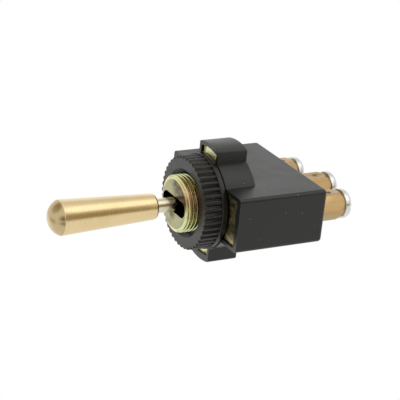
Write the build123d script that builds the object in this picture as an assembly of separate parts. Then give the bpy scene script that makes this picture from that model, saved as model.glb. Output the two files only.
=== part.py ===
"""A three-position toggle switch for a panel, with a turned brass lever and three screw terminals.

Millimetres. The origin is on the bush's axis, in the plane where a panel seats on the housing.
The lever points along -Y, the terminals along +Y, the housing's wide way is X, and +Z is up.
The lever swings left and right, about a pin that stands along Z.
"""

from build123d import *
import math
import os

# Bush and ring nut
BUSH_R = 6.0
BUSH_FRONT_Y = -7.0
BUSH_CHAMFER_DEEP = 0.4
BUSH_CHAMFER_WIDE = 0.85
THREAD_PITCH_R = 5.68
BUSH_BORE_R = 4.6
BUSH_FACE_WALL = 1.6
BUSH_SKIRT_R = 5.4
BUSH_SKIRT_END_Y = 5.2
BUSH_COLLAR_R = 6.6
BUSH_COLLAR_LONG = 0.6
SLOT_HALF_LENGTH = 4.9
SLOT_WIDTH = 3.4
NUT_CREST_R = 9.75
KNURL_DEEP = 0.5
KNURL_GROOVE_WIDE = 0.8
NUT_FLANGE_R = 10.0
NUT_FRONT_Y = -4.9
NUT_FLANGE_LONG = 1.2
NUT_MOUTH_R = 7.2
NUT_MOUTH_DEEP = 1.4
NUT_EDGE = 0.25
KNURL_TEETH = 44

# Lever, with its knob, pin and plunger
PIVOT_Y = 3.5
STEM_R = 1.5
KNOB_ROOT_Y = -11.5
KNOB_ROOT_R = 2.68
KNOB_EDGE = 0.5
KNOB_DOME_Y = -32.3
KNOB_DOME_R = 3.6
KNOB_TIP_Y = -34.6
KNOB_SEAT_DEEP = 7.0
BALL_CLEARANCE = 0.1
PIN_R = 0.9
PIN_CLEARANCE = 0.05
TAIL_R = 2.6
TAIL_END_Y = 11.0
TAIL_BORE_R = 1.6
TAIL_BORE_START_Y = 5.3
PLUNGER_CLEARANCE = 0.1
PLUNGER_INSIDE = 2.0
PLUNGER_TIP_R = 1.5
SPRING_WIRE_R = 0.2
SPRING_TURNS = 5
SPRING_CLEARANCE = 0.15

# Housing
HOUSING_HALF_X = 14.5
HOUSING_HALF_Z = 5.8
HOUSING_LONG = 20.5
HOUSING_EDGE = 0.8
SIDE_WALL = 1.3
FLAT_WALL = 1.2
REAR_WALL = 2.0
COLLAR_R = 10.2
COLLAR_LONG = 6.9
COLLAR_WALL = 1.3
LUG_TOP_R = 12.5
LUG_BOTTOM_R = 13.0
LUG_EDGE = 0.5
LUG_HALF_X = 3.9
LUG_SIDE_WALL = 0.7
RECESS_DEEP = 0.5
PLATE_THICK = 1.2
PLATE_HALF_X = 13.2
PLATE_HALF_Z = 5.0
PLATE_TAB_R = 11.6
PLATE_ROUND_R = 9.0

# Terminals
POST_FROM_SIDE = 5.1
POST_ACROSS_FLATS = 5.6
POST_CHAMFER = 0.45
POST_CHAMFER_LONG = 1.4
POST_END_Y = 27.0
MIDDLE_POST_EXTRA = 2.5
SHANK_R = 1.6
TAP_R = 1.25
TAP_DEEP = 4.5
WIRE_HOLE_R = 0.55
WIRE_HOLE_FROM_END = 2.8
HEAD_R = 3.15
HEAD_THICK = 1.9
HEAD_DOME = 1.2
SCREW_R = 1.25
SCREW_LONG = 4.0
SCREW_SLOT_WIDE = 0.8
SCREW_SLOT_DEEP = 0.8

# Contacts
SHEET = 0.8
CONTACT_HALF_Z = 2.4
TIP_X = 6.0
TIP_R = 1.4
TIP_THICK = 0.7
TIP_GAP = 1.35
ROCKER_HALF_X = 7.2
ROCKER_HALF_Z = 2.2
ROCKER_THICK = 0.9
SADDLE_HALF_X = 3.4
SADDLE_ANGLE = 20.0
SADDLE_CLEARANCE = 0.22
FULCRUM_R = 0.9
FULCRUM_CLEARANCE = 0.08
CRADLE_WALL = 0.75
BRACKET_HALF_X = 3.0

# Places that follow from the sizes above
POST_SPACING = HOUSING_HALF_X - POST_FROM_SIDE
CONTACT_REACH_X = TIP_X - TIP_R
BALL_R = BUSH_BORE_R - BALL_CLEARANCE
PLATE_FRONT_Y = RECESS_DEEP
PLATE_REAR_Y = PLATE_FRONT_Y + PLATE_THICK
CHAMBER_END_Y = HOUSING_LONG - REAR_WALL
STRIP_Y = CHAMBER_END_Y - SHEET
FIXED_TIP_Y = STRIP_Y - TIP_THICK
MOVING_TIP_Y = FIXED_TIP_Y - TIP_GAP
ROCKER_REAR_Y = MOVING_TIP_Y - TIP_THICK
ROCKER_FRONT_Y = ROCKER_REAR_Y - ROCKER_THICK
FULCRUM_Y = ROCKER_REAR_Y + FULCRUM_R / 2
PLUNGER_R = TAIL_BORE_R - PLUNGER_CLEARANCE
SADDLE_SLOPE = math.radians(SADDLE_ANGLE)
PLUNGER_CENTRE_Y = ROCKER_FRONT_Y - (PLUNGER_TIP_R + SADDLE_CLEARANCE) / math.cos(SADDLE_SLOPE)
CHAMBER_HALF_Z = HOUSING_HALF_Z - FLAT_WALL


def rod(radius, start_y, end_y, x=0.0):
    """A round bar along Y."""
    middle = (start_y + end_y) / 2
    return Pos(x, middle, 0) * Rot(90, 0, 0) * Cylinder(radius, end_y - start_y)


def block(x0, x1, y0, y1, z0, z1):
    """A square block between two corners."""
    centre = Pos((x0 + x1) / 2, (y0 + y1) / 2, (z0 + z1) / 2)
    return centre * Box(x1 - x0, y1 - y0, z1 - z0)


def turned(points):
    """A solid turned about the Y axis from an outline of (radius, y) points."""
    face = make_face(Polyline(*[(r, y, 0) for r, y in points], close=True))
    return revolve(face, Axis.Y)


def write(name, shape):
    """Save one piece under its own name."""
    export_step(shape, f"parts/{name}.step")


def bush_slot(half_length, width, y0, y1):
    """The round-ended slot that the lever swings in."""
    straight = half_length - width / 2
    ends = [rod(width / 2, y0, y1, x) for x in (-straight, straight)]
    return ends[0] + ends[1] + block(-straight, straight, y0, y1, -width / 2, width / 2)


def threaded_bush():
    """A turned steel bush, staked through the mounting plate, with the pin's holes in its skirt."""
    body = turned([
        (0, BUSH_FRONT_Y),
        (BUSH_R - BUSH_CHAMFER_WIDE, BUSH_FRONT_Y),
        (BUSH_R, BUSH_FRONT_Y + BUSH_CHAMFER_DEEP),
        (BUSH_R, NUT_FRONT_Y),
        (THREAD_PITCH_R, NUT_FRONT_Y),
        (THREAD_PITCH_R, PLATE_FRONT_Y),
        (BUSH_SKIRT_R, PLATE_FRONT_Y),
        (BUSH_SKIRT_R, PLATE_REAR_Y),
        (BUSH_COLLAR_R, PLATE_REAR_Y),
        (BUSH_COLLAR_R, PLATE_REAR_Y + BUSH_COLLAR_LONG),
        (BUSH_SKIRT_R, PLATE_REAR_Y + BUSH_COLLAR_LONG),
        (BUSH_SKIRT_R, BUSH_SKIRT_END_Y),
        (0, BUSH_SKIRT_END_Y),
    ])
    bore = rod(BUSH_BORE_R, BUSH_FRONT_Y + BUSH_FACE_WALL, BUSH_SKIRT_END_Y + 1)
    slot = bush_slot(SLOT_HALF_LENGTH, SLOT_WIDTH, BUSH_FRONT_Y - 1, BUSH_FRONT_Y + BUSH_FACE_WALL + 1)
    pin_hole = Pos(0, PIVOT_Y, 0) * Cylinder(PIN_R, 3 * BUSH_R)
    return body - bore - slot - pin_hole


def knurl_groove(index):
    """One round-bottomed groove of the nut's straight knurl."""
    radius = (KNURL_GROOVE_WIDE / 2) ** 2 / (2 * KNURL_DEEP) + KNURL_DEEP / 2
    cutter = rod(radius, NUT_FRONT_Y - 1, -NUT_FLANGE_LONG, x=NUT_CREST_R - KNURL_DEEP + radius)
    return Rot(0, index * 360 / KNURL_TEETH, 0) * cutter


def ring_nut():
    """The knurled plastic ring nut, with its smooth flange against the housing."""
    nut = turned([
        (THREAD_PITCH_R, NUT_FRONT_Y + NUT_MOUTH_DEEP),
        (NUT_MOUTH_R, NUT_FRONT_Y),
        (NUT_CREST_R - NUT_EDGE, NUT_FRONT_Y),
        (NUT_CREST_R, NUT_FRONT_Y + NUT_EDGE),
        (NUT_CREST_R, -NUT_FLANGE_LONG),
        (NUT_FLANGE_R, -NUT_FLANGE_LONG),
        (NUT_FLANGE_R, 0),
        (THREAD_PITCH_R, 0),
    ])
    return nut - [knurl_groove(index) for index in range(KNURL_TEETH)]


def plate_outline():
    """The mounting plate's outline seen from the front: two wings, a round middle and two tabs."""
    wings = Rectangle(2 * PLATE_HALF_X, 2 * PLATE_HALF_Z)
    tabs = Rectangle(2 * (LUG_HALF_X - LUG_SIDE_WALL), 3 * PLATE_TAB_R) & Circle(PLATE_TAB_R)
    return wings + Circle(PLATE_ROUND_R) + tabs


def along_y(sketch, start_y, end_y):
    """A flat outline, drawn with X across and -Z up the sheet, made solid between two places along Y."""
    plane = Plane(origin=(0, start_y, 0), x_dir=(1, 0, 0), z_dir=(0, 1, 0))
    return extrude(plane * sketch, end_y - start_y)


def mounting_plate():
    """The zinc-plated steel plate that carries the bush and shows in the housing's front recesses."""
    hole = rod(BUSH_SKIRT_R, PLATE_FRONT_Y - 1, PLATE_REAR_Y + 1)
    return along_y(plate_outline(), PLATE_FRONT_Y, PLATE_REAR_Y) - hole


def lug_outline():
    """The two lugs as one outline with round ends, the bottom one slightly longer."""
    top = Rectangle(2 * LUG_HALF_X, 3 * LUG_TOP_R) & Circle(LUG_TOP_R)
    bottom = Rectangle(2 * LUG_HALF_X, 3 * LUG_BOTTOM_R) & Circle(LUG_BOTTOM_R)
    lower_half = Pos(0, LUG_BOTTOM_R) * Rectangle(2 * LUG_BOTTOM_R, 2 * LUG_BOTTOM_R)
    outline = top + (bottom & lower_half)
    return fillet(outline.vertices(), LUG_EDGE)


def housing():
    """The moulded black housing: a flat box with a round collar and two lugs at its front."""
    box = block(-HOUSING_HALF_X, HOUSING_HALF_X, 0, HOUSING_LONG, -HOUSING_HALF_Z, HOUSING_HALF_Z)
    rear_edges = box.faces().sort_by(Axis.Y)[-1].edges()
    box = fillet(box.edges().filter_by(Axis.Y) + rear_edges, HOUSING_EDGE)
    lugs = along_y(lug_outline(), 0, COLLAR_LONG)
    lugs = fillet(lugs.faces().sort_by(Axis.Y)[-1].edges(), LUG_EDGE / 2)
    collar = rod(COLLAR_R, 0, COLLAR_LONG)
    collar = fillet(collar.faces().sort_by(Axis.Y)[-1].edges(), LUG_EDGE / 2)
    body = box + collar + lugs
    recess = along_y(plate_outline(), -1, PLATE_REAR_Y)
    chamber = block(
        -HOUSING_HALF_X + SIDE_WALL, HOUSING_HALF_X - SIDE_WALL,
        PLATE_REAR_Y + PLATE_THICK, CHAMBER_END_Y, -CHAMBER_HALF_Z, CHAMBER_HALF_Z,
    )
    throat = rod(COLLAR_R - COLLAR_WALL, 0, COLLAR_LONG - COLLAR_WALL)
    body = body - recess - chamber - throat
    return body - [rod(SHANK_R, CHAMBER_END_Y - 1, HOUSING_LONG + 1, x) for x in post_places()]


def lever_stem():
    """The turned steel lever: stem, ball, and a hollow tail for the spring and plunger."""
    stem = rod(STEM_R, KNOB_ROOT_Y - KNOB_SEAT_DEEP, PIVOT_Y)
    ball = Pos(0, PIVOT_Y, 0) * Sphere(BALL_R)
    tail = rod(TAIL_R, PIVOT_Y, TAIL_END_Y)
    bore = rod(TAIL_BORE_R, TAIL_BORE_START_Y, TAIL_END_Y + 1)
    pin_hole = Pos(0, PIVOT_Y, 0) * Cylinder(PIN_R + PIN_CLEARANCE, 3 * BALL_R)
    return stem + ball + tail - bore - pin_hole


def lever_knob():
    """The solid brass knob, tapered towards the bush and domed at its tip."""
    rise = KNOB_DOME_Y - KNOB_TIP_Y
    sphere_r = (KNOB_DOME_R ** 2 + rise ** 2) / (2 * rise)
    half_way = math.acos((sphere_r - rise) / sphere_r) / 2
    shoulder = (sphere_r * math.sin(half_way), KNOB_TIP_Y + sphere_r * (1 - math.cos(half_way)))
    outline = Polyline(
        (0, KNOB_TIP_Y), (0, KNOB_ROOT_Y), (KNOB_ROOT_R - KNOB_EDGE, KNOB_ROOT_Y),
        (KNOB_ROOT_R, KNOB_ROOT_Y - KNOB_EDGE), (KNOB_DOME_R, KNOB_DOME_Y),
    )
    dome = ThreePointArc((KNOB_DOME_R, KNOB_DOME_Y), shoulder, (0, KNOB_TIP_Y))
    knob = revolve(make_face(outline + dome), Axis.Y)
    return knob - rod(STEM_R, KNOB_ROOT_Y - KNOB_SEAT_DEEP, KNOB_ROOT_Y + 1)


def pivot_pin():
    """The pin across the bush's skirt that the lever turns on."""
    return Pos(0, PIVOT_Y, 0) * Cylinder(PIN_R, 2 * BUSH_SKIRT_R)


def plunger():
    """The insulating plunger that slides in the lever's tail and presses on the rocker."""
    shank = rod(PLUNGER_R, TAIL_END_Y - PLUNGER_INSIDE, PLUNGER_CENTRE_Y)
    return shank + Pos(0, PLUNGER_CENTRE_Y, 0) * Sphere(PLUNGER_TIP_R)


def plunger_spring():
    """The compression spring between the tail's bore and the plunger."""
    start = TAIL_BORE_START_Y + SPRING_WIRE_R
    end = TAIL_END_Y - PLUNGER_INSIDE - SPRING_WIRE_R
    mean_r = TAIL_BORE_R - SPRING_CLEARANCE - SPRING_WIRE_R
    path = Helix((end - start) / SPRING_TURNS, end - start, mean_r)
    wire = Plane(origin=path @ 0, z_dir=path % 0) * Circle(SPRING_WIRE_R)
    return Pos(0, start, 0) * Rot(-90, 0, 0) * sweep(wire, path)


def rocker_contact():
    """The brass rocker: a flat bar with a V saddle for the plunger and a cradle on the fulcrum."""
    rise = SADDLE_HALF_X * math.tan(SADDLE_SLOPE)
    valley_y = ROCKER_FRONT_Y
    bar = block(-ROCKER_HALF_X, ROCKER_HALF_X, ROCKER_FRONT_Y, ROCKER_REAR_Y, -ROCKER_HALF_Z, ROCKER_HALF_Z)
    saddle_side = Polyline(
        (0, valley_y), (SADDLE_HALF_X, valley_y - rise), (SADDLE_HALF_X + ROCKER_THICK, ROCKER_REAR_Y),
        (0, ROCKER_REAR_Y), close=True,
    )
    half = extrude(make_face(saddle_side), ROCKER_HALF_Z, both=True)
    cradle = Pos(0, FULCRUM_Y, 0) * Cylinder(FULCRUM_R + FULCRUM_CLEARANCE + CRADLE_WALL, 2 * ROCKER_HALF_Z)
    front_half = block(-TIP_X, TIP_X, ROCKER_FRONT_Y, FULCRUM_Y, -ROCKER_HALF_Z, ROCKER_HALF_Z)
    notch = Pos(0, FULCRUM_Y, 0) * Cylinder(FULCRUM_R + FULCRUM_CLEARANCE, 3 * ROCKER_HALF_Z)
    return bar + half + half.mirror(Plane.YZ) + (cradle & front_half) - notch


def contact_tip(x, start_y):
    """A round silver contact button."""
    return rod(TIP_R, start_y, start_y + TIP_THICK, x)


def post_places():
    """The three terminals' places along X."""
    return (-POST_SPACING, 0.0, POST_SPACING)


def outer_contact(side):
    """A brass strip from an outer terminal's shank to under the rocker's end."""
    far_x = POST_SPACING + POST_ACROSS_FLATS / 2
    x0, x1 = sorted((side * CONTACT_REACH_X, side * far_x))
    strip = block(x0, x1, STRIP_Y, CHAMBER_END_Y, -CONTACT_HALF_Z, CONTACT_HALF_Z)
    return strip - rod(SHANK_R, STRIP_Y - 1, CHAMBER_END_Y + 1, side * POST_SPACING)


def centre_contact():
    """The middle terminal's bracket, whose round ridge is the rocker's fulcrum."""
    ridge = Pos(0, FULCRUM_Y, 0) * Cylinder(FULCRUM_R, 2 * CONTACT_HALF_Z)
    web = block(-FULCRUM_R / 2, FULCRUM_R / 2, FULCRUM_Y, STRIP_Y, -CONTACT_HALF_Z, CONTACT_HALF_Z)
    foot = block(-BRACKET_HALF_X, BRACKET_HALF_X, STRIP_Y, CHAMBER_END_Y, -CONTACT_HALF_Z, CONTACT_HALF_Z)
    return ridge + web + foot - rod(SHANK_R, STRIP_Y, CHAMBER_END_Y + 1)


def post_end(x):
    """Where a terminal post ends: the middle one stands further back."""
    return POST_END_Y + (MIDDLE_POST_EXTRA if x == 0 else 0)


def terminal_post(x):
    """A hexagonal brass post with flats above and below, riveted through the housing's rear wall."""
    end = post_end(x)
    corner_r = POST_ACROSS_FLATS / math.sqrt(3)
    turned_end = Pos(x, 0, 0) * turned([
        (0, HOUSING_LONG), (corner_r, HOUSING_LONG), (corner_r, end - POST_CHAMFER_LONG),
        (corner_r - POST_CHAMFER, end), (0, end),
    ])
    post = along_y(Pos(x, 0) * RegularPolygon(corner_r, 6), HOUSING_LONG, end) & turned_end
    post = post + rod(SHANK_R, STRIP_Y, HOUSING_LONG, x)
    wire_hole = Pos(x, end - WIRE_HOLE_FROM_END, 0) * Cylinder(WIRE_HOLE_R, 2 * POST_ACROSS_FLATS)
    post = post - rod(TAP_R, end - TAP_DEEP, end + 1, x)
    return post - wire_hole


def terminal_screw(x):
    """A slotted pan-head screw in a post's end."""
    end = post_end(x)
    head = rod(HEAD_R, end, end + HEAD_THICK, x)
    head = fillet(head.faces().sort_by(Axis.Y)[-1].edges(), HEAD_DOME)
    slot = block(
        x - 2 * HEAD_R, x + 2 * HEAD_R, end + HEAD_THICK - SCREW_SLOT_DEEP, end + 2 * HEAD_THICK,
        -SCREW_SLOT_WIDE / 2, SCREW_SLOT_WIDE / 2,
    )
    return head + rod(SCREW_R, end - SCREW_LONG, end, x) - slot


def main():
    """Write every piece."""
    os.makedirs("parts", exist_ok=True)
    write("housing", housing())
    write("mounting_plate", mounting_plate())
    write("threaded_bush", threaded_bush())
    write("ring_nut", ring_nut())
    write("lever_stem", lever_stem())
    write("lever_knob", lever_knob())
    write("pivot_pin", pivot_pin())
    write("plunger", plunger())
    write("plunger_spring", plunger_spring())
    write("rocker_contact", rocker_contact())
    write("centre_contact", centre_contact())
    for name, side in (("left", -1), ("right", 1)):
        write(f"{name}_contact", outer_contact(side))
        write(f"{name}_contact_tip", contact_tip(side * TIP_X, FIXED_TIP_Y))
        write(f"rocker_{name}_tip", contact_tip(side * TIP_X, ROCKER_REAR_Y))
    for name, x in zip(("left", "centre", "right"), post_places()):
        write(f"{name}_terminal_post", terminal_post(x))
        write(f"{name}_terminal_screw", terminal_screw(x))


main()
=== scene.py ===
"""Dresses the panel toggle switch: brass lever, plated bush, moulded housing, terminals.

Lengths in the classes are metres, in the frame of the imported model: the bush's axis is Y, the
lever points along -Y, the terminals along +Y, and +Z is up.
"""

import logging
import math
from dataclasses import dataclass, field
from enum import Enum
from typing import Iterable, Sequence

import bpy
from mathutils import Matrix, Vector

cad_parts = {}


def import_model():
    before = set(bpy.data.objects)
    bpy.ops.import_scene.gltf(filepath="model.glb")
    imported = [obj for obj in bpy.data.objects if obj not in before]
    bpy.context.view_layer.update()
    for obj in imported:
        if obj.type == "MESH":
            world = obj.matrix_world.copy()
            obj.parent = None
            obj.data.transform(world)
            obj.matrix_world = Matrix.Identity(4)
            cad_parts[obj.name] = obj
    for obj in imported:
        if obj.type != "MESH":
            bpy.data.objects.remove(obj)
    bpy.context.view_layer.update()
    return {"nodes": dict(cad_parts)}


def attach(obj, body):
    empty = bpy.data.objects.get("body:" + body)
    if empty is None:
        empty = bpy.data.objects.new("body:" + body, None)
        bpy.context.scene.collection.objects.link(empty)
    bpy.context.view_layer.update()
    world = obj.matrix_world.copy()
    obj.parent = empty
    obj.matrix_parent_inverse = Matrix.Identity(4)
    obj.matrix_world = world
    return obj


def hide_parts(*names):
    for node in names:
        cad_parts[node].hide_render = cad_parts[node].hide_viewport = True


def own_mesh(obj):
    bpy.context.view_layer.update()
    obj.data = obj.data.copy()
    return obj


MM = 0.001
LOG = logging.getLogger("toggle_switch")

# How far a cutter reaches past what it cuts.
PAST = 1 * MM
# Points closer than this are joined: in a modelled piece, and in a copy of a packed one.
FINE_WELD = 1e-7
PACKED_WELD = 2e-6
# Faces across each rounded edge.
EDGE_FACES = 2
# How strongly large faces rule the shading beside an edge, in percent.
LARGE_FACES_WEIGHT = 95
# The share of a soft spot's radius that is at full strength.
SPOT_CORE = 0.4

Outline = Sequence[tuple[float, float]]
Colour = tuple[float, float, float]
Point = tuple[float, float, float]
Span = tuple[float, float]
# How wide an edge is rounded, and the angle in degrees above which it is.
Softening = tuple[float, float]
# What a node's socket takes: another socket, a number, or a colour or vector.
Value = bpy.types.NodeSocket | float | tuple[float, ...]
PackedPieces = dict[str, bpy.types.Object]


def evenly(value: float) -> Point:
    """The same value three times over, as a scale along all axes or a grey."""
    return (value, value, value)


class Body(Enum):
    """The bodies that the modelled pieces ride on."""

    FIXED = "body"
    LEVER = "lever"
    PLUNGER = "plunger"


class Grain(Enum):
    """Which way the fine marks of a machined finish run."""

    ROUND_Y = "turned about the Y axis"
    ALONG_Y = "drawn along the Y axis"
    NONE = "no direction"


class Bench:
    """The modelling steps that every piece shares, each on a clean selection."""

    @staticmethod
    def clear() -> None:
        """Leave edit mode and deselect everything."""
        if bpy.context.object is not None and bpy.context.object.mode != "OBJECT":
            bpy.ops.object.mode_set(mode="OBJECT")
        bpy.ops.object.select_all(action="DESELECT")

    @staticmethod
    def pick(piece: bpy.types.Object) -> None:
        """Select one object alone and make it active.

        Args:
            piece: the object to work on.
        """
        Bench.clear()
        piece.select_set(True)
        bpy.context.view_layer.objects.active = piece

    @staticmethod
    def settle(piece: bpy.types.Object) -> None:
        """Put a piece's place into its mesh, so that its object sits at the origin unturned."""
        Bench.pick(piece)
        bpy.ops.object.transform_apply(location=True, rotation=True, scale=True)

    @staticmethod
    def made(name: str) -> bpy.types.Object:
        """Name the object that was just added and settle it.

        Args:
            name: its name.

        Returns:
            The same object.
        """
        piece = bpy.context.object
        piece.name = name
        Bench.settle(piece)
        return piece

    @staticmethod
    def edit() -> None:
        """Start to edit the active piece's mesh, with all of it selected."""
        bpy.ops.object.mode_set(mode="EDIT")
        bpy.ops.mesh.select_all(action="SELECT")

    @staticmethod
    def close() -> None:
        """Turn all the faces outward and stop editing."""
        bpy.ops.mesh.select_all(action="SELECT")
        bpy.ops.mesh.normals_make_consistent(inside=False)
        bpy.ops.object.mode_set(mode="OBJECT")

    @staticmethod
    def turn(name: str, outline: Outline, sides: int = 128) -> bpy.types.Object:
        """Turn a piece about the Y axis, ring by ring, as on a lathe.

        Args:
            name: the new piece's name.
            outline: (radius, y) of each ring, in order along the surface.
            sides: how many sides each ring has.

        Returns:
            The finished object.
        """
        Bench.clear()
        radius, place = outline[0]
        bpy.ops.mesh.primitive_circle_add(
            vertices=sides, radius=radius, fill_type="NGON",
            location=(0, place, 0), rotation=(math.pi / 2, 0, 0),
        )
        piece = Bench.made(name)
        Bench.edit()
        for next_radius, next_place in outline[1:]:
            step = {"value": (0, next_place - place, 0)}
            bpy.ops.mesh.extrude_region_move(TRANSFORM_OT_translate=step)
            scale = next_radius / radius
            bpy.ops.transform.resize(value=(scale, 1, scale), center_override=(0, next_place, 0))
            radius, place = next_radius, next_place
        Bench.close()
        return piece

    @staticmethod
    def rod(
        name: str, radius: float, start: float, end: float, x: float = 0.0, sides: int = 64
    ) -> bpy.types.Object:
        """A plain bar along Y, used as stock or as a cutter.

        Args:
            name: the new piece's name.
            radius: its radius.
            start: where it starts along Y.
            end: where it ends along Y.
            x: its place along X.
            sides: how many sides it has.

        Returns:
            The finished object.
        """
        Bench.clear()
        bpy.ops.mesh.primitive_cylinder_add(
            vertices=sides, radius=radius, depth=end - start,
            location=(x, (start + end) / 2, 0), rotation=(math.pi / 2, 0, 0),
        )
        return Bench.made(name)

    @staticmethod
    def drill(name: str, radius: float, y: float, half: float, sides: int = 48) -> bpy.types.Object:
        """A drill along Z that cuts a cross hole at a place along Y.

        Args:
            name: the new piece's name.
            radius: its radius.
            y: its place along Y.
            half: how far it reaches above and below the Y axis.
            sides: how many sides it has.

        Returns:
            The finished object.
        """
        Bench.clear()
        bpy.ops.mesh.primitive_cylinder_add(
            vertices=sides, radius=radius, depth=2 * half, location=(0, y, 0)
        )
        return Bench.made(name)

    @staticmethod
    def block(name: str, low: Sequence[float], high: Sequence[float]) -> bpy.types.Object:
        """A square block between two corners, used as stock or as a cutter.

        Args:
            name: the new piece's name.
            low: its lowest corner.
            high: its highest corner.

        Returns:
            The finished object.
        """
        Bench.clear()
        middle = [(a + b) / 2 for a, b in zip(low, high)]
        bpy.ops.mesh.primitive_cube_add(size=1, location=middle)
        bpy.context.object.scale = [b - a for a, b in zip(low, high)]
        return Bench.made(name)

    @staticmethod
    def cut(
        piece: bpy.types.Object, tool: bpy.types.Object, operation: str = "DIFFERENCE"
    ) -> None:
        """Cut, join or trim a piece with another object, which is used up.

        Args:
            piece: the object that stays.
            tool: the cutter.
            operation: DIFFERENCE, UNION or INTERSECT.
        """
        Bench.pick(piece)
        modifier = piece.modifiers.new("cut", "BOOLEAN")
        modifier.operation = operation
        modifier.solver = "EXACT"
        modifier.object = tool
        bpy.ops.object.modifier_apply(modifier=modifier.name)
        bpy.data.objects.remove(tool)

    @staticmethod
    def soften(piece: bpy.types.Object, width: float, angle: float) -> None:
        """Round a piece's sharp edges and smooth its round faces.

        Args:
            piece: the object to soften.
            width: how far the rounding reaches, in metres.
            angle: edges sharper than this, in degrees, are rounded.
        """
        Bench.pick(piece)
        modifier = piece.modifiers.new("soften", "BEVEL")
        modifier.width = width
        modifier.segments = EDGE_FACES
        modifier.limit_method = "ANGLE"
        modifier.angle_limit = math.radians(angle)
        modifier.use_clamp_overlap = True
        bpy.ops.object.modifier_apply(modifier=modifier.name)
        Bench.smooth(piece)
        Bench.flatten(piece)

    @staticmethod
    def flatten(piece: bpy.types.Object) -> None:
        """Keep large flat faces flat in shading, beside the small ones that round their edges.

        Args:
            piece: the object, already smoothed.
        """
        Bench.pick(piece)
        modifier = piece.modifiers.new("flatten", "WEIGHTED_NORMAL")
        modifier.keep_sharp = True
        modifier.weight = LARGE_FACES_WEIGHT
        bpy.ops.object.modifier_apply(modifier=modifier.name)

    @staticmethod
    def smooth(piece: bpy.types.Object, angle: float = 35.0) -> None:
        """Smooth the shading across edges flatter than an angle in degrees."""
        Bench.pick(piece)
        bpy.ops.object.shade_smooth_by_angle(angle=math.radians(angle))

    @staticmethod
    def merged_copy(node: bpy.types.Object, name: str) -> bpy.types.Object:
        """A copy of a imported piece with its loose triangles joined.

        Args:
            node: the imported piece.
            name: the copy's name.

        Returns:
            The new object, which stands in the same place.
        """
        Bench.clear()
        piece = bpy.data.objects.new(name, node.data.copy())
        bpy.context.scene.collection.objects.link(piece)
        piece.matrix_world = node.matrix_world.copy()
        Bench.settle(piece)
        Bench.edit()
        bpy.ops.mesh.remove_doubles(threshold=PACKED_WELD)
        bpy.ops.mesh.dissolve_limited(angle_limit=math.radians(0.5))
        bpy.ops.object.mode_set(mode="OBJECT")
        return piece

    @staticmethod
    def fit(
        piece: bpy.types.Object, body: Body, slot: str, nodes: Iterable[str],
        material: bpy.types.Material,
    ) -> None:
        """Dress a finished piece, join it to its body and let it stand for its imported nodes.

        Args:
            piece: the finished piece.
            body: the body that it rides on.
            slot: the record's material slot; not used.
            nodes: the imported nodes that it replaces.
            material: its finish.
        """
        piece.data.materials.clear()
        piece.data.materials.append(material)
        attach(piece, body.value)
        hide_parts(*nodes)
        LOG.info("%s: %d faces on %s", piece.name, len(piece.data.polygons), body.value)


class Tree:
    """A short hand for laying out a node tree."""

    def __init__(self, tree: bpy.types.NodeTree) -> None:
        """Take up a node tree.

        Args:
            tree: the tree to add to.
        """
        self.tree = tree

    def add(
        self, kind: str, inputs: dict[str | int, Value] | None = None, **values: object
    ) -> bpy.types.Node:
        """Add a node, set its plain properties and feed its inputs.

        Args:
            kind: the node's type.
            inputs: what each of its inputs takes, by its name or number.
            **values: the properties to set on it.

        Returns:
            The new node.
        """
        node = self.tree.nodes.new(kind)
        for key, value in values.items():
            setattr(node, key, value)
        for key, value in (inputs or {}).items():
            self.feed(node.inputs[key], value)
        return node

    def feed(self, socket: bpy.types.NodeSocket, value: Value) -> None:
        """Give a socket what it takes.

        Args:
            socket: the socket.
            value: another socket, a number, or a colour or vector.
        """
        if isinstance(value, bpy.types.NodeSocket):
            self.tree.links.new(value, socket)
        else:
            socket.default_value = (*value, 1.0) if socket.type == "RGBA" else value

    def remap(
        self, source: bpy.types.NodeSocket, low: float, high: float,
        start: float = 0.3, end: float = 0.7, shape: str = "LINEAR",
    ) -> bpy.types.NodeSocket:
        """Stretch part of a value's range over another, held at both ends.

        Args:
            source: the value.
            low: the result at and before start.
            high: the result at and after end.
            start: where the part starts.
            end: where the part ends.
            shape: LINEAR or SMOOTHSTEP.

        Returns:
            The stretched value.
        """
        node = self.add("ShaderNodeMapRange", {
            "Value": source, "From Min": start, "From Max": end, "To Min": low, "To Max": high,
        }, interpolation_type=shape)
        return node.outputs["Result"]

    def maths(self, operation: str, *values: Value) -> bpy.types.NodeSocket:
        """One arithmetic step.

        Args:
            operation: the step, by its name in a maths node.
            *values: what it works on, in order.

        Returns:
            The result.
        """
        return self.add("ShaderNodeMath", dict(enumerate(values)), operation=operation).outputs[0]

    def vectors(self, operation: str, *values: Value) -> bpy.types.NodeSocket:
        """A number from two vectors, such as the distance between two points.

        Args:
            operation: the step, by its name in a vector maths node.
            *values: the two vectors.

        Returns:
            The number.
        """
        node = self.add("ShaderNodeVectorMath", dict(enumerate(values)), operation=operation)
        return node.outputs["Value"]

    def mix(
        self, factor: Value, first: Value, second: Value, mode: str = "MIX"
    ) -> bpy.types.NodeSocket:
        """Blend two colours.

        Args:
            factor: the second colour's share.
            first: the first colour.
            second: the second colour.
            mode: the way to blend them, by its name in a mix node.

        Returns:
            The blended colour.
        """
        node = self.add(
            "ShaderNodeMix", {0: factor, 6: first, 7: second}, data_type="RGBA", blend_type=mode
        )
        return node.outputs[2]


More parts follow.
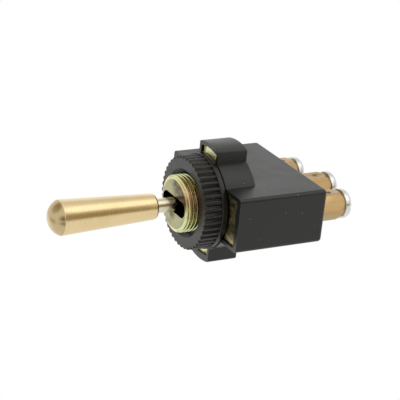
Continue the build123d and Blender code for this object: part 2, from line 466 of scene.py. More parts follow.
class Nodes(Tree):
    """A material, with short hands for the patterns and masks of a finish."""

    def __init__(self, name: str) -> None:
        """Start a material with its shader and output only.

        Args:
            name: the material's name.
        """
        self.material = bpy.data.materials.new(name)
        self.material.use_nodes = True
        super().__init__(self.material.node_tree)
        self.shader = self.tree.nodes["Principled BSDF"]
        self.place = self.add("ShaderNodeTexCoord").outputs["Object"]

    def dress(self, inputs: dict[str, Value]) -> bpy.types.Material:
        """Feed the shader and hand the material over.

        Args:
            inputs: what each of the shader's inputs takes, by name.

        Returns:
            The finished material.
        """
        for name, value in inputs.items():
            self.feed(self.shader.inputs[name], value)
        return self.material

    def stretched(self, scale: Point) -> bpy.types.NodeSocket:
        """The object's coordinates, scaled separately along each axis.

        Args:
            scale: the scale along X, Y and Z.

        Returns:
            The scaled coordinates.
        """
        mapping = self.add("ShaderNodeMapping", {"Scale": scale, "Vector": self.place})
        return mapping.outputs["Vector"]

    def noise(
        self, scale: Point, detail: float = 3.0, rough: float = 0.55
    ) -> bpy.types.NodeSocket:
        """A noise pattern with its own scale along each axis.

        Args:
            scale: cycles per metre along X, Y and Z.
            detail: how many finer layers it has.
            rough: how strong the finer layers are.

        Returns:
            The pattern, from 0 to 1.
        """
        noise = self.add("ShaderNodeTexNoise", {
            "Vector": self.stretched(scale), "Scale": 1.0, "Detail": detail, "Roughness": rough,
        })
        return noise.outputs["Fac"]

    def rings(self, per_metre: float) -> bpy.types.NodeSocket:
        """Fine lines round the Y axis that vary only along it, as a turning tool leaves them."""
        return self.noise((0.0, per_metre, 0.0), detail=6.0, rough=0.7)

    def ramp(
        self, source: bpy.types.NodeSocket, stops: Sequence[tuple[float, Colour]]
    ) -> bpy.types.NodeSocket:
        """Turn a value into a colour.

        Args:
            source: the value, from 0 to 1.
            stops: the (position, colour) stops, in order.

        Returns:
            The colour.
        """
        ramp = self.add("ShaderNodeValToRGB", {"Fac": source})
        elements = ramp.color_ramp.elements
        while len(elements) < len(stops):
            elements.new(0.5)
        for element, (position, colour) in zip(elements, stops):
            element.position = position
            element.color = (*colour, 1.0)
        return ramp.outputs["Color"]

    def drifting(
        self, pattern: bpy.types.NodeSocket, middle: float, drift: Span
    ) -> bpy.types.NodeSocket:
        """A value that drifts with a pattern.

        Args:
            pattern: the pattern, from 0 to 1.
            middle: the value that it drifts about.
            drift: how far from it the pattern's low and high parts lie.

        Returns:
            The drifting value.
        """
        low, high = (middle + step for step in drift)
        return self.remap(pattern, low, high)

    def axes(self) -> Sequence[bpy.types.NodeSocket]:
        """The object's X, Y and Z coordinates, each by itself."""
        return tuple(self.add("ShaderNodeSeparateXYZ", {0: self.place}).outputs)

    def behind(self, start: float, over: float) -> bpy.types.NodeSocket:
        """0 in front of a place along Y, rising to 1 behind it.

        Args:
            start: the place where it starts to rise.
            over: how far it takes to rise.

        Returns:
            The mask.
        """
        return self.remap(self.axes()[1], 0.0, 1.0, start, start + over)

    def near(self, centre: Point, radius: float) -> bpy.types.NodeSocket:
        """1 at a point, falling softly to 0 at a radius from it.

        Args:
            centre: the point.
            radius: where it has fallen to 0.

        Returns:
            The mask.
        """
        away = self.vectors("DISTANCE", self.place, centre)
        return self.remap(away, 1.0, 0.0, radius * SPOT_CORE, radius)

    def along_z(self, x: float, y: float, radius: float) -> bpy.types.NodeSocket:
        """1 within a radius of a line that runs along Z, 0 elsewhere.

        Args:
            x: the line's place along X.
            y: the line's place along Y.
            radius: how far the mask reaches.

        Returns:
            The mask.
        """
        away = self.vectors("DISTANCE", self.stretched((1.0, 1.0, 0.0)), (x, y, 0.0))
        return self.maths("LESS_THAN", away, radius)

    def inside(self, radius: float, front_y: float) -> bpy.types.NodeSocket:
        """1 within a radius of the Y axis and behind a plane, 0 elsewhere.

        Args:
            radius: how far the mask reaches.
            front_y: the plane's place along Y.

        Returns:
            The mask.
        """
        x, y, z = self.axes()
        square = self.maths("ADD", self.maths("MULTIPLY", x, x), self.maths("MULTIPLY", z, z))
        near = self.maths("LESS_THAN", square, radius * radius)
        return self.maths("MULTIPLY", near, self.maths("GREATER_THAN", y, front_y))

    def bump(
        self, height: bpy.types.NodeSocket, depth: float,
        under: bpy.types.NodeSocket | None = None,
    ) -> bpy.types.NodeSocket:
        """A bump of a real depth, laid over another bump if one is given.

        Args:
            height: the pattern.
            depth: its depth in metres.
            under: the bump below it.

        Returns:
            The bumped normal.
        """
        inputs: dict[str | int, Value] = {"Height": height, "Strength": 1.0, "Distance": depth}
        if under is not None:
            inputs["Normal"] = under
        return self.add("ShaderNodeBump", inputs).outputs["Normal"]


@dataclass(frozen=True)
class MouldedPlastic:
    """Black thermoset as it leaves the mould: satin, faintly grained, with a few pale specks."""

    name: str
    colour: Colour
    roughness: float
    grain_depth: float
    specks: float = 0.9
    index: float = 1.48
    cloud_scale: float = 180.0
    speck_scale: float = 1100.0
    rarity_scale: float = 800.0
    grain_scale: float = 2600.0
    speck_size: Span = (0.06, 0.12)
    speck_rarity: Span = (0.57, 0.61)
    cloud_tones: Span = (0.80, 1.25)
    roughness_drift: Span = (-0.05, 0.06)
    speck_colour: Colour = (0.42, 0.41, 0.38)
    shine: Colour = (1.0, 0.985, 0.93)

    def speck_amount(self, n: Nodes) -> bpy.types.NodeSocket:
        """Small round dots, of which a second pattern keeps only a few.

        Args:
            n: the material's nodes.

        Returns:
            The specks' mask.
        """
        inputs = {"Vector": n.place, "Scale": self.speck_scale}
        cells = n.add("ShaderNodeTexVoronoi", inputs, feature="F1")
        dots = n.remap(cells.outputs["Distance"], 1.0, 0.0, *self.speck_size)
        chosen = n.noise(evenly(self.rarity_scale), detail=0.0)
        rare = n.remap(chosen, 0.0, 1.0, *self.speck_rarity)
        return n.remap(n.maths("MULTIPLY", dots, rare), 0.0, self.specks, 0.0, 1.0)

    def material(self) -> bpy.types.Material:
        """Build the finish as a node material.

        Returns:
            The new material.
        """
        n = Nodes(self.name)
        cloud = n.noise(evenly(self.cloud_scale), detail=4.0)
        dark, light = (tuple(tone * c for c in self.colour) for tone in self.cloud_tones)
        tint = n.ramp(cloud, [(0.30, dark), (0.70, light)])
        grain = n.noise(evenly(self.grain_scale), detail=3.0)
        return n.dress({
            "Base Color": n.mix(self.speck_amount(n), tint, self.speck_colour),
            "Roughness": n.drifting(cloud, self.roughness, self.roughness_drift),
            "Normal": n.bump(grain, self.grain_depth),
            "IOR": self.index, "Specular Tint": self.shine,
        })


@dataclass(frozen=True)
class ZincPlate:
    """Yellow-passivated zinc: pale green-gold that drifts to pink and straw."""

    name: str
    roughness: float
    grain: Grain
    stain: float
    tone: float
    # Spots of soiling mixed with painted shade, each a centre and a radius.
    soiled_and_shaded: tuple[tuple[Point, float], ...]
    soiling_and_shade_colour: Colour
    # Painted shade inside the bore and slot: within this radius of the axis and behind this place
    # along Y.
    shaded_radius: float = 0.0
    shaded_y: float = -6.92 * MM
    face_y: float | None = None
    # How dark the copy of the coating is that is painted on the face as shade.
    shaded_face_tone: float = 0.74
    face_depth: float = 0.03 * MM
    drift_scale: float = 110.0
    stain_scale: float = 420.0
    blotch_scale: float = 900.0
    turning_scale: float = 5200.0
    grain_scale: float = 2400.0
    mark_depth: float = 4e-6
    stain_edge: Span = (0.48, 0.66)
    blotch_edge: Span = (0.35, 0.60)
    thinnest_blotch: float = 0.55
    roughness_drift: Span = (-0.07, 0.10)
    stain_colour: Colour = (0.16, 0.13, 0.05)
    # The colour of the painted shade inside the bore.
    shade_colour: Colour = (0.060, 0.050, 0.036)

    def soiling_and_shade(self, n: Nodes) -> bpy.types.NodeSocket:
        """The mask of all the spots of soiling and painted shade, broken up by a blotchy pattern.

        Args:
            n: the material's nodes.

        Returns:
            The mask.
        """
        mask = n.near(*self.soiled_and_shaded[0])
        for spot in self.soiled_and_shaded[1:]:
            mask = n.maths("MAXIMUM", mask, n.near(*spot))
        blotches = n.noise(evenly(self.blotch_scale), detail=4.0)
        blotches = n.remap(blotches, self.thinnest_blotch, 1.0, *self.blotch_edge)
        return n.maths("MULTIPLY", mask, blotches)

    @staticmethod
    def shades(tone: float) -> list[tuple[float, Colour]]:
        """The coating's drifting colours, brightened, or darkened as painted shade.

        Args:
            tone: what each colour is multiplied by.

        Returns:
            The (position, colour) stops of a ramp.
        """
        green, pale = (0.32, 0.35, 0.19), (0.42, 0.42, 0.23)
        straw, pink = (0.45, 0.41, 0.20), (0.43, 0.34, 0.20)
        base = ((0.30, green), (0.45, pale), (0.55, straw), (0.66, pink))
        return [(place, tuple(tone * c for c in colour)) for place, colour in base]

    def coating(self, n: Nodes) -> bpy.types.NodeSocket:
        """The coating's colour, stained, with spots of soiling and painted shade, and with a darker
        copy painted on the face as shade if it has a face.

        Args:
            n: the material's nodes.

        Returns:
            The colour.
        """
        drift = n.noise(evenly(self.drift_scale), detail=1.0)
        stain = n.noise(evenly(self.stain_scale), detail=5.0)
        stain = n.remap(stain, 0.0, self.stain, *self.stain_edge)
        tone = n.mix(stain, n.ramp(drift, self.shades(self.tone)), self.stain_colour)
        if self.face_y is None:
            return n.mix(self.soiling_and_shade(n), tone, self.soiling_and_shade_colour)
        # A darker copy of the coating, painted on the face as shade.
        shaded_coating = n.mix(stain, n.ramp(drift, self.shades(self.shaded_face_tone)), self.stain_colour)
        face = n.mix(self.soiling_and_shade(n), shaded_coating, self.soiling_and_shade_colour)
        return n.mix(n.behind(self.face_y, self.face_depth), face, tone)

    def material(self) -> bpy.types.Material:
        """Build the finish as a node material, with painted shade inside the bore and slot where a
        radius for it is given.

        Returns:
            The new material.
        """
        n = Nodes(self.name)
        tone = self.coating(n)
        # Painted shade inside the bore and slot.
        if self.shaded_radius:
            tone = n.mix(n.inside(self.shaded_radius, self.shaded_y), tone, self.shade_colour)
        if self.grain is Grain.ROUND_Y:
            marks = n.rings(self.turning_scale)
        else:
            marks = n.noise(evenly(self.grain_scale))
        return n.dress({
            "Base Color": tone, "Metallic": 1.0,
            "Roughness": n.drifting(marks, self.roughness, self.roughness_drift),
            "Normal": n.bump(marks, self.mark_depth),
        })


@dataclass(frozen=True)
class MachinedMetal:
    """A bright machined metal with the fine lines that its cutting or drawing left."""

    name: str
    light: Colour
    dark: Colour
    roughness: float
    grain: Grain
    mark_depth: float
    # Painted shade behind this place along Y, as on the stem where it runs into the bush's slot.
    shaded_y: float | None = None
    # Painted shade on the domed tip, in front of this place along Y.
    shaded_tip_y: float | None = None
    # Drilled cross holes along Z, each at (x, y), filled with painted shade.
    holes: tuple[tuple[float, float], ...] = ()
    hole_r: float = 0.56 * MM
    shaded_over: float = 0.9 * MM
    tip_shade_over: float = 0.1 * MM
    turning_scale: float = 4200.0
    drawn_scale: Point = (5200.0, 90.0, 5200.0)
    plain_scale: float = 1500.0
    cloud_scale: float = 160.0
    wave_scale: Point = (260.0, 1500.0, 260.0)
    waves: float = 3.0
    line_edge: Span = (0.35, 0.65)
    line_share: float = 0.5
    worn_edge: Span = (0.4, 0.75)
    worn_share: float = 0.35
    roughness_drift: Span = (-0.06, 0.08)
    # The colour of the painted shade behind a place along Y.
    shade_colour: Colour = (0.070, 0.054, 0.032)
    # The colour of the painted shade on a domed tip.
    tip_shade: Colour = (0.56, 0.44, 0.24)
    # The colour of the painted shade in drilled holes.
    hole_shade: Colour = (0.060, 0.034, 0.008)

    def marks(self, n: Nodes) -> bpy.types.NodeSocket:
        """The pattern of the finish's fine lines.

        Args:
            n: the material's nodes.

        Returns:
            The pattern, from 0 to 1.
        """
        if self.grain is Grain.ROUND_Y:
            return n.rings(self.turning_scale)
        if self.grain is Grain.ALONG_Y:
            return n.noise(self.drawn_scale, detail=4.0)
        return n.noise(evenly(self.plain_scale), detail=4.0)

    def colour(self, n: Nodes, marks: bpy.types.NodeSocket) -> bpy.types.NodeSocket:
        """The metal's colour, with painted shade behind a place along Y, on a domed tip and in
        drilled holes.

        Args:
            n: the material's nodes.
            marks: the pattern of its fine lines.

        Returns:
            The colour.
        """
        cloud = n.noise(evenly(self.cloud_scale), detail=3.0)
        lines = n.remap(marks, 0.0, self.line_share, *self.line_edge)
        worn = n.remap(cloud, 0.0, self.worn_share, *self.worn_edge)
        tone = n.mix(worn, n.mix(lines, self.light, self.dark), self.dark)
        # Painted shade where the piece runs in behind a place along Y.
        if self.shaded_y is not None:
            tone = n.mix(n.behind(self.shaded_y, self.shaded_over), tone, self.shade_colour)
        # Painted shade on the domed tip, in front of a place along Y.
        if self.shaded_tip_y is not None:
            tone = n.mix(n.behind(self.shaded_tip_y, self.tip_shade_over), self.tip_shade, tone)
        # Painted shade in the drilled cross holes.
        for x, y in self.holes:
            tone = n.mix(n.along_z(x, y, self.hole_r), tone, self.hole_shade)
        return tone

    def material(self) -> bpy.types.Material:
        """Build the finish as a node material.

        Returns:
            The new material.
        """
        n = Nodes(self.name)
        marks = self.marks(n)
        waves = n.bump(n.noise(self.wave_scale, detail=4.0), self.waves * self.mark_depth)
        return n.dress({
            "Base Color": self.colour(n, marks), "Metallic": 1.0,
            "Roughness": n.drifting(marks, self.roughness, self.roughness_drift),
            "Normal": n.bump(marks, self.mark_depth, under=waves),
        })


@dataclass(frozen=True)
class Nylon:
    """Off-white insulating plastic."""

    name: str
    colour: Colour
    roughness: float = 0.42
    cloud_scale: float = 600.0
    grain_scale: float = 2500.0
    grain_depth: float = 3e-6
    dark_tone: float = 0.92
    glow: float = 0.08
    glow_depth: float = 0.5 * MM

    def material(self) -> bpy.types.Material:
        """Build the finish as a node material.

        Returns:
            The new material.
        """
        n = Nodes(self.name)
        cloud = n.noise(evenly(self.cloud_scale))
        darker = tuple(self.dark_tone * c for c in self.colour)
        return n.dress({
            "Base Color": n.ramp(cloud, [(0.3, darker), (0.7, self.colour)]),
            "Roughness": self.roughness,
            "Subsurface Weight": self.glow, "Subsurface Scale": self.glow_depth,
            "Normal": n.bump(n.noise(evenly(self.grain_scale)), self.grain_depth),
        })


class Finishes:
    """Every finish on the switch, built once."""

    def __init__(self) -> None:
        """Build the materials."""
        turned, drawn, plain = Grain.ROUND_Y, Grain.ALONG_Y, Grain.NONE
        # The posts' cross holes, which the post and screw finishes fill with painted shade.
        holes = tuple((post.x, post.end_y - post.hole_from_end) for post in terminals())
        self.housing = MouldedPlastic(
            "satin_black_moulding", (0.008, 0.008, 0.0072), 0.34, 5e-6,
        ).material()
        self.nut = MouldedPlastic(
            "matt_black_nut", (0.007, 0.007, 0.0062), 0.38, 6e-6,
        ).material()
        self.zinc_turned = ZincPlate(
            "turned_yellow_zinc", 0.24, turned, stain=0.4, tone=1.7,
            # Soiling on the bush's face; the spot below the slot is the stem's painted shadow mixed
            # with soiling.
            soiled_and_shaded=(
                ((1.2 * MM, -7.0 * MM, 4.2 * MM), 3.2 * MM),
                ((2.8 * MM, -7.0 * MM, 3.3 * MM), 3.4 * MM),
                ((4.0 * MM, -7.0 * MM, 2.3 * MM), 2.8 * MM),
                ((-0.4 * MM, -7.0 * MM, -2.2 * MM), 1.6 * MM),
            ),
            # Painted shade inside the bore and slot, and a darker copy of the coating painted on
            # the face as shade.
            soiling_and_shade_colour=(0.07, 0.055, 0.018), shaded_radius=5.1 * MM, face_y=-6.99 * MM,
        ).material()
        self.zinc_sheet = ZincPlate(
            "sheet_yellow_zinc", 0.48, plain, stain=0.9, tone=2.8,
            # Painted shade, mixed with soiling, over the plate in the housing's right recess.
            soiled_and_shaded=(((11.5 * MM, 0.5 * MM, 1.0 * MM), 8.5 * MM),),
            soiling_and_shade_colour=(0.11, 0.10, 0.06),
        ).material()
        self.knob = MachinedMetal(
            "turned_knob_brass", (0.82, 0.66, 0.38), (0.64, 0.47, 0.24), 0.25, turned, 6e-6,
            # Painted shade on the knob's domed tip.
            shaded_tip_y=-32.4 * MM,
        ).material()
        self.stem = MachinedMetal(
            "plated_stem", (0.76, 0.70, 0.53), (0.58, 0.51, 0.36), 0.22, turned, 1e-6,
            # Painted shade on the stem where it runs into the bush's slot.
            shaded_y=-7.5 * MM,
        ).material()
        self.post = MachinedMetal(
            "drawn_post_brass", (0.49, 0.35, 0.17), (0.41, 0.27, 0.11), 0.34, drawn, 3e-6,
            holes=holes,
        ).material()
        self.sheet_brass = MachinedMetal(
            "contact_sheet_brass", (0.82, 0.66, 0.36), (0.66, 0.50, 0.24), 0.32, plain, 2e-6,
        ).material()
        self.nickel = MachinedMetal(
            "bright_nickel", (0.72, 0.71, 0.70), (0.58, 0.58, 0.57), 0.22, plain, 1e-6,
            holes=holes,
        ).material()
        self.silver = MachinedMetal(
            "contact_silver", (0.90, 0.89, 0.86), (0.74, 0.73, 0.70), 0.25, turned, 1e-6,
        ).material()
        self.spring = MachinedMetal(
            "spring_wire", (0.62, 0.62, 0.62), (0.45, 0.45, 0.46), 0.25, plain, 1e-6,
        ).material()
        self.nylon = Nylon("white_nylon", (0.80, 0.79, 0.74)).material()


@dataclass
class Lever:
    """The knob and stem, with the plunger and spring in the lever's tail."""

    stem_r: float = 1.5 * MM
    knob_root_y: float = -11.5 * MM
    knob_root_r: float = 2.68 * MM
    knob_edge: float = 0.55 * MM
    dome_y: float = -32.3 * MM
    dome_r: float = 3.6 * MM
    tip_y: float = -34.6 * MM
    dome_rings: int = 14
    socket_deep: float = 7.0 * MM
    pivot_y: float = 3.5 * MM
    ball_r: float = 4.5 * MM
    pin_hole_r: float = 0.95 * MM
    tail_r: float = 2.6 * MM
    tail_y: float = 11.0 * MM
    bore_r: float = 1.6 * MM
    bore_y: float = 5.3 * MM
    plunger_stroke: float = 0.6 * MM
    knob_soft: Softening = (0.07 * MM, 18.0)
    knob_smooth: float = 16.0
    stem_smooth: float = 25.0
    plunger_smooth: float = 30.0
    spring_smooth: float = 40.0
    end_gap: float = 0.05 * MM
    corner_steps: int = 8
    side_steps: int = 8
    ball_steps: int = 28

    def knob_outline(self) -> list[tuple[float, float]]:
        """The knob's rings, from the socket at its root round to its tip.

        Returns:
            The (radius, y) of each ring.
        """
        rise = self.dome_y - self.tip_y
        sphere_r = (self.dome_r ** 2 + rise ** 2) / (2 * rise)
        whole = math.acos((sphere_r - rise) / sphere_r)
        root = [
            (self.stem_r, self.knob_root_y - self.socket_deep),
            (self.stem_r, self.knob_root_y),
            (self.knob_root_r - self.knob_edge, self.knob_root_y),
        ]
        corner = [
            (
                self.knob_root_r - self.knob_edge * (1 - math.sin(turn)),
                self.knob_root_y - self.knob_edge * (1 - math.cos(turn)),
            )
            for turn in self.quarter(self.corner_steps)
        ]
        length = self.dome_y - (self.knob_root_y - self.knob_edge)
        body = [
            (
                self.knob_root_r + (self.dome_r - self.knob_root_r) * part,
                self.knob_root_y - self.knob_edge + length * part,
            )
            for part in (step / self.side_steps for step in range(1, self.side_steps + 1))
        ]
        dome = []
        for step in range(1, self.dome_rings):
            angle = whole * (1 - step / self.dome_rings)
            place = self.tip_y + sphere_r * (1 - math.cos(angle))
            dome.append((sphere_r * math.sin(angle), place))
        return root + corner + body + dome

    @staticmethod
    def quarter(steps: int) -> list[float]:
        """The angles of a quarter turn, in equal steps after its start."""
        return [math.pi / 2 / steps * step for step in range(1, steps + 1)]

    def stem_outline(self) -> list[tuple[float, float]]:
        """The stem's rings, from its end in the knob over the ball to the tail's end.

        Returns:
            The (radius, y) of each ring.
        """
        first = math.asin(self.stem_r / self.ball_r)
        last = math.pi - math.asin(self.tail_r / self.ball_r)
        ball = []
        for step in range(self.ball_steps + 1):
            angle = first + (last - first) * step / self.ball_steps
            place = self.pivot_y - self.ball_r * math.cos(angle)
            ball.append((self.ball_r * math.sin(angle), place))
        start = self.knob_root_y - self.socket_deep + self.end_gap
        return [(self.stem_r, start), *ball, (self.tail_r, self.tail_y)]

    def stem(self) -> bpy.types.Object:
        """The turned stem, ball and tail, bored for the plunger and drilled for the pin.

        Returns:
            The finished object.
        """
        piece = Bench.turn("turned_stem", self.stem_outline())
        bore = Bench.rod("tail_bore", self.bore_r, self.bore_y, self.tail_y + PAST)
        Bench.cut(piece, bore)
        pin_hole = Bench.drill("pin_hole", self.pin_hole_r, self.pivot_y, 2 * self.ball_r)
        Bench.cut(piece, pin_hole)
        Bench.smooth(piece, self.stem_smooth)
        return piece

    def build(self, finishes: Finishes, nodes: PackedPieces) -> None:
        """Model the knob and stem and dress what the tail holds.

        Args:
            finishes: the switch's finishes.
            nodes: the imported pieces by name.
        """
        knob = Bench.turn("brass_knob", self.knob_outline())
        Bench.soften(knob, *self.knob_soft)
        Bench.smooth(knob, self.knob_smooth)
        Bench.fit(knob, Body.LEVER, "knob_brass", ["lever_knob"], finishes.knob)
        Bench.fit(self.stem(), Body.LEVER, "plated_steel", ["lever_stem"], finishes.stem)
        plunger = Bench.merged_copy(nodes["plunger"], "nylon_plunger")
        Bench.smooth(plunger, self.plunger_smooth)
        Bench.fit(plunger, Body.PLUNGER, "white_nylon", ["plunger"], finishes.nylon)
        self.spring(finishes, nodes["plunger_spring"])

    def spring(self, finishes: Finishes, node: bpy.types.Object) -> None:
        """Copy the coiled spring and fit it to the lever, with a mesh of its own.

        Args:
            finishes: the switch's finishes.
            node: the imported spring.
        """
        coil = Bench.merged_copy(node, "coiled_spring")
        Bench.smooth(coil, self.spring_smooth)
        Bench.fit(coil, Body.LEVER, "spring_steel", ["plunger_spring"], finishes.spring)
        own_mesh(coil)


@dataclass
class PanelBush:
    """The threaded bush with its slotted face, and the knurled ring nut run down on it."""

    crest_r: float = 6.0 * MM
    root_r: float = 5.5 * MM
    pitch: float = 0.8 * MM
    face_y: float = -7.0 * MM
    face_r: float = 5.15 * MM
    chamfer_deep: float = 0.4 * MM
    thread_end_y: float = -3.6 * MM
    shank_r: float = 5.6 * MM
    seat_y: float = 0.5 * MM
    spigot_r: float = 5.4 * MM
    collar_r: float = 6.6 * MM
    collar_y: tuple[float, float] = (1.7 * MM, 2.3 * MM)
    skirt_y: float = 5.2 * MM
    bore_r: float = 4.6 * MM
    face_wall: float = 1.6 * MM
    slot_half: float = 4.9 * MM
    slot_wide: float = 3.4 * MM
    pin_r: float = 0.9 * MM
    pin_y: float = 3.5 * MM
    nut_front_y: float = -4.9 * MM
    nut_flange_y: float = -1.2 * MM
    nut_r: float = 9.75 * MM
    nut_edge: float = 0.15 * MM
    nut_flange_r: float = 10.0 * MM
    nut_mouth_r: float = 7.2 * MM
    nut_mouth_deep: float = 1.4 * MM
    nut_bore_r: float = 5.68 * MM
    teeth: int = 44
    groove_deep: float = 0.40 * MM
    tooth_depths: tuple[float, ...] = (1.0, 0.86, 0.46, 0.1, 0.0, 0.0, 0.0, 0.1, 0.46, 0.86)
    ridge_sides: int = 96
    # How far a corner of the ridge stands from the root or crest, and its share of the pitch.
    ridge_root: tuple[float, float] = (-0.25 * MM, 0.45)
    ridge_shoulder: tuple[float, float] = (-0.17 * MM, 0.27)
    ridge_crest: tuple[float, float] = (0.03 * MM, 0.09)
    trim: float = 0.01 * MM
    trim_root: float = 0.3 * MM
    bush_soft: Softening = (0.05 * MM, 38.0)
    nut_soft: Softening = (0.08 * MM, 50.0)
    facing_front: float = -0.999

    def slot_cutter(self) -> bpy.types.Object:
        """A round-ended bar that cuts the lever's slot.

        Returns:
            The cutter.
        """
        straight = self.slot_half - self.slot_wide / 2
        low, high = self.face_y - PAST, self.face_y + self.face_wall + PAST
        half = self.slot_wide / 2
        cutter = Bench.block("slot_bar", (-straight, low, -half), (straight, high, half))
        for side in (-1, 1):
            end = Bench.rod("slot_end", half, low, high, x=side * straight, sides=48)
            Bench.cut(cutter, end, "UNION")
        return cutter

    def ridge_ring(self) -> bpy.types.Object:
        """The ridge's section: a ring of six corners, one turn in front of the face.

        Returns:
            The open ring of edges.
        """
        Bench.clear()
        bpy.ops.mesh.primitive_circle_add(
            vertices=6, radius=self.pitch / 2, fill_type="NOTHING"
        )
        ring = bpy.context.object
        ring.name = "thread_ridge"
        start = self.face_y - self.pitch
        side = [
            (self.root_r + self.ridge_root[0], self.ridge_root[1]),
            (self.crest_r + self.ridge_shoulder[0], self.ridge_shoulder[1]),
            (self.crest_r + self.ridge_crest[0], self.ridge_crest[1]),
        ]
        corners = [(radius, -part * self.pitch) for radius, part in side]
        corners += [(radius, part * self.pitch) for radius, part in reversed(side)]
        for vertex, (radius, along) in zip(ring.data.vertices, corners):
            vertex.co = (radius, start + along, 0)
        return ring

    def thread(self) -> bpy.types.Object:
        """A helical ridge, wound with the Screw modifier and trimmed to the bush's chamfer.

        Returns:
            The finished ridge.
        """
        ridge = self.ridge_ring()
        modifier = ridge.modifiers.new("helix", "SCREW")
        modifier.axis = "Y"
        modifier.angle = math.tau
        modifier.screw_offset = self.pitch
        modifier.iterations = int((self.thread_end_y - self.face_y) / self.pitch) + 2
        modifier.steps = self.ridge_sides
        modifier.render_steps = self.ridge_sides
        modifier.use_merge_vertices = False
        Bench.pick(ridge)
        bpy.ops.object.modifier_apply(modifier=modifier.name)
        Bench.edit()
        bpy.ops.mesh.remove_doubles(threshold=FINE_WELD)
        bpy.ops.mesh.fill_holes(sides=6)
        Bench.close()
        LOG.info("thread ridge: %d faces before trimming", len(ridge.data.polygons))
        crest, end = self.crest_r - self.trim, self.thread_end_y - 2 * self.trim
        envelope = Bench.turn("thread_envelope", [
            (self.face_r, self.face_y + 5 * self.trim), (crest, self.face_y + self.chamfer_deep),
            (crest, end), (self.root_r - self.trim_root, end),
        ], sides=192)
        Bench.cut(ridge, envelope, "INTERSECT")
        LOG.info("thread ridge: %d faces after trimming", len(ridge.data.polygons))
        return ridge

    def bush(self) -> bpy.types.Object:
        """The turned bush with its bore, slot, pin holes and thread.

        Returns:
            The finished object.
        """
        piece = Bench.turn("zinc_bush", [
            (self.face_r, self.face_y), (self.root_r, self.face_y + self.chamfer_deep / 2),
            (self.root_r, self.thread_end_y), (self.shank_r, self.thread_end_y),
            (self.shank_r, self.seat_y), (self.spigot_r, self.seat_y),
            (self.spigot_r, self.collar_y[0]), (self.collar_r, self.collar_y[0]),
            (self.collar_r, self.collar_y[1]), (self.spigot_r, self.collar_y[1]),
            (self.spigot_r, self.skirt_y),
        ])
        wall, past = self.face_y + self.face_wall, self.skirt_y + PAST
        Bench.cut(piece, Bench.rod("bore", self.bore_r, wall, past, sides=96))
        Bench.cut(piece, self.slot_cutter())
        Bench.cut(piece, Bench.drill("pin_hole", self.pin_r, self.pin_y, 2 * self.crest_r))
        Bench.cut(piece, self.thread(), "UNION")
        Bench.soften(piece, *self.bush_soft)
        return piece

    def toothed_ring(self) -> bpy.types.Object:
        """The nut's toothed outline as a ring of edges in the plane of its front face.

        Returns:
            The open ring of edges.
        """
        per_tooth = len(self.tooth_depths)
        Bench.clear()
        bpy.ops.mesh.primitive_circle_add(
            vertices=self.teeth * per_tooth, radius=self.nut_r, fill_type="NOTHING",
            location=(0, self.nut_front_y, 0), rotation=(math.pi / 2, 0, 0),
        )
        ring = Bench.made("knurled_nut")
        for index, vertex in enumerate(ring.data.vertices):
            depth = self.tooth_depths[index % per_tooth] * self.groove_deep
            vertex.co.x *= 1 - depth / self.nut_r
            vertex.co.z *= 1 - depth / self.nut_r
        return ring

    def nut(self) -> bpy.types.Object:
        """The ring nut: a toothed ring, extruded to its flange and round through its bore.

        Returns:
            The finished object.
        """
        piece = self.toothed_ring()
        Bench.edit()
        inner = (self.nut_r - self.nut_edge) / self.nut_r
        centre = (0, self.nut_front_y, 0)
        bpy.ops.transform.resize(value=(inner, 1, inner), center_override=centre)
        self.ring(self.nut_front_y + self.nut_edge, self.nut_front_y, 1 / inner)
        self.ring(self.nut_flange_y, self.nut_front_y + self.nut_edge, 1)
        bpy.ops.mesh.extrude_edges_move(TRANSFORM_OT_translate={"value": (0, 0, 0)})
        bpy.ops.object.mode_set(mode="OBJECT")
        for vertex in piece.data.vertices:
            if vertex.select:
                radius = math.hypot(vertex.co.x, vertex.co.z)
                vertex.co.x *= self.nut_flange_r / radius
                vertex.co.z *= self.nut_flange_r / radius
        bpy.ops.object.mode_set(mode="EDIT")
        place, radius = self.nut_flange_y, self.nut_flange_r
        for next_radius, next_place in (
            (self.nut_flange_r, 0.0), (self.nut_bore_r, 0.0),
            (self.nut_bore_r, self.nut_front_y + self.nut_mouth_deep),
            (self.nut_mouth_r, self.nut_front_y),
        ):
            self.ring(next_place, place, next_radius / radius)
            place, radius = next_place, next_radius
        bpy.ops.object.mode_set(mode="OBJECT")
        self.close_front(piece)
        Bench.soften(piece, *self.nut_soft)
        for polygon in piece.data.polygons:
            if polygon.normal.y < self.facing_front:
                polygon.use_smooth = False
        Bench.flatten(piece)
        return piece

    @staticmethod
    def ring(place: float, last: float, scale: float) -> None:
        """Extrude the selected ring along Y to a new place and scale it about the axis.

        Args:
            place: the new place along Y.
            last: the place that it leaves.
            scale: its new radius over its old one.
        """
        bpy.ops.mesh.extrude_edges_move(TRANSFORM_OT_translate={"value": (0, place - last, 0)})
        bpy.ops.transform.resize(value=(scale, 1, scale), center_override=(0, place, 0))

    @staticmethod
    def close_front(piece: bpy.types.Object) -> None:
        """Bridge the nut's toothed front edge to the rim of its mouth.

        Args:
            piece: the nut, open between the two edges.
        """
        bpy.ops.object.mode_set(mode="EDIT")
        bpy.ops.mesh.select_all(action="DESELECT")
        bpy.ops.mesh.select_non_manifold()
        bpy.ops.mesh.bridge_edge_loops()
        Bench.close()

    def build(self, finishes: Finishes, nodes: PackedPieces) -> None:
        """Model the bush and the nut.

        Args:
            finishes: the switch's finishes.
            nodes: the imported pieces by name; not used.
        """
        bush, nut = self.bush(), self.nut()
        Bench.fit(bush, Body.FIXED, "yellow_zinc", ["threaded_bush"], finishes.zinc_turned)
        Bench.fit(nut, Body.FIXED, "black_plastic", ["ring_nut"], finishes.nut)


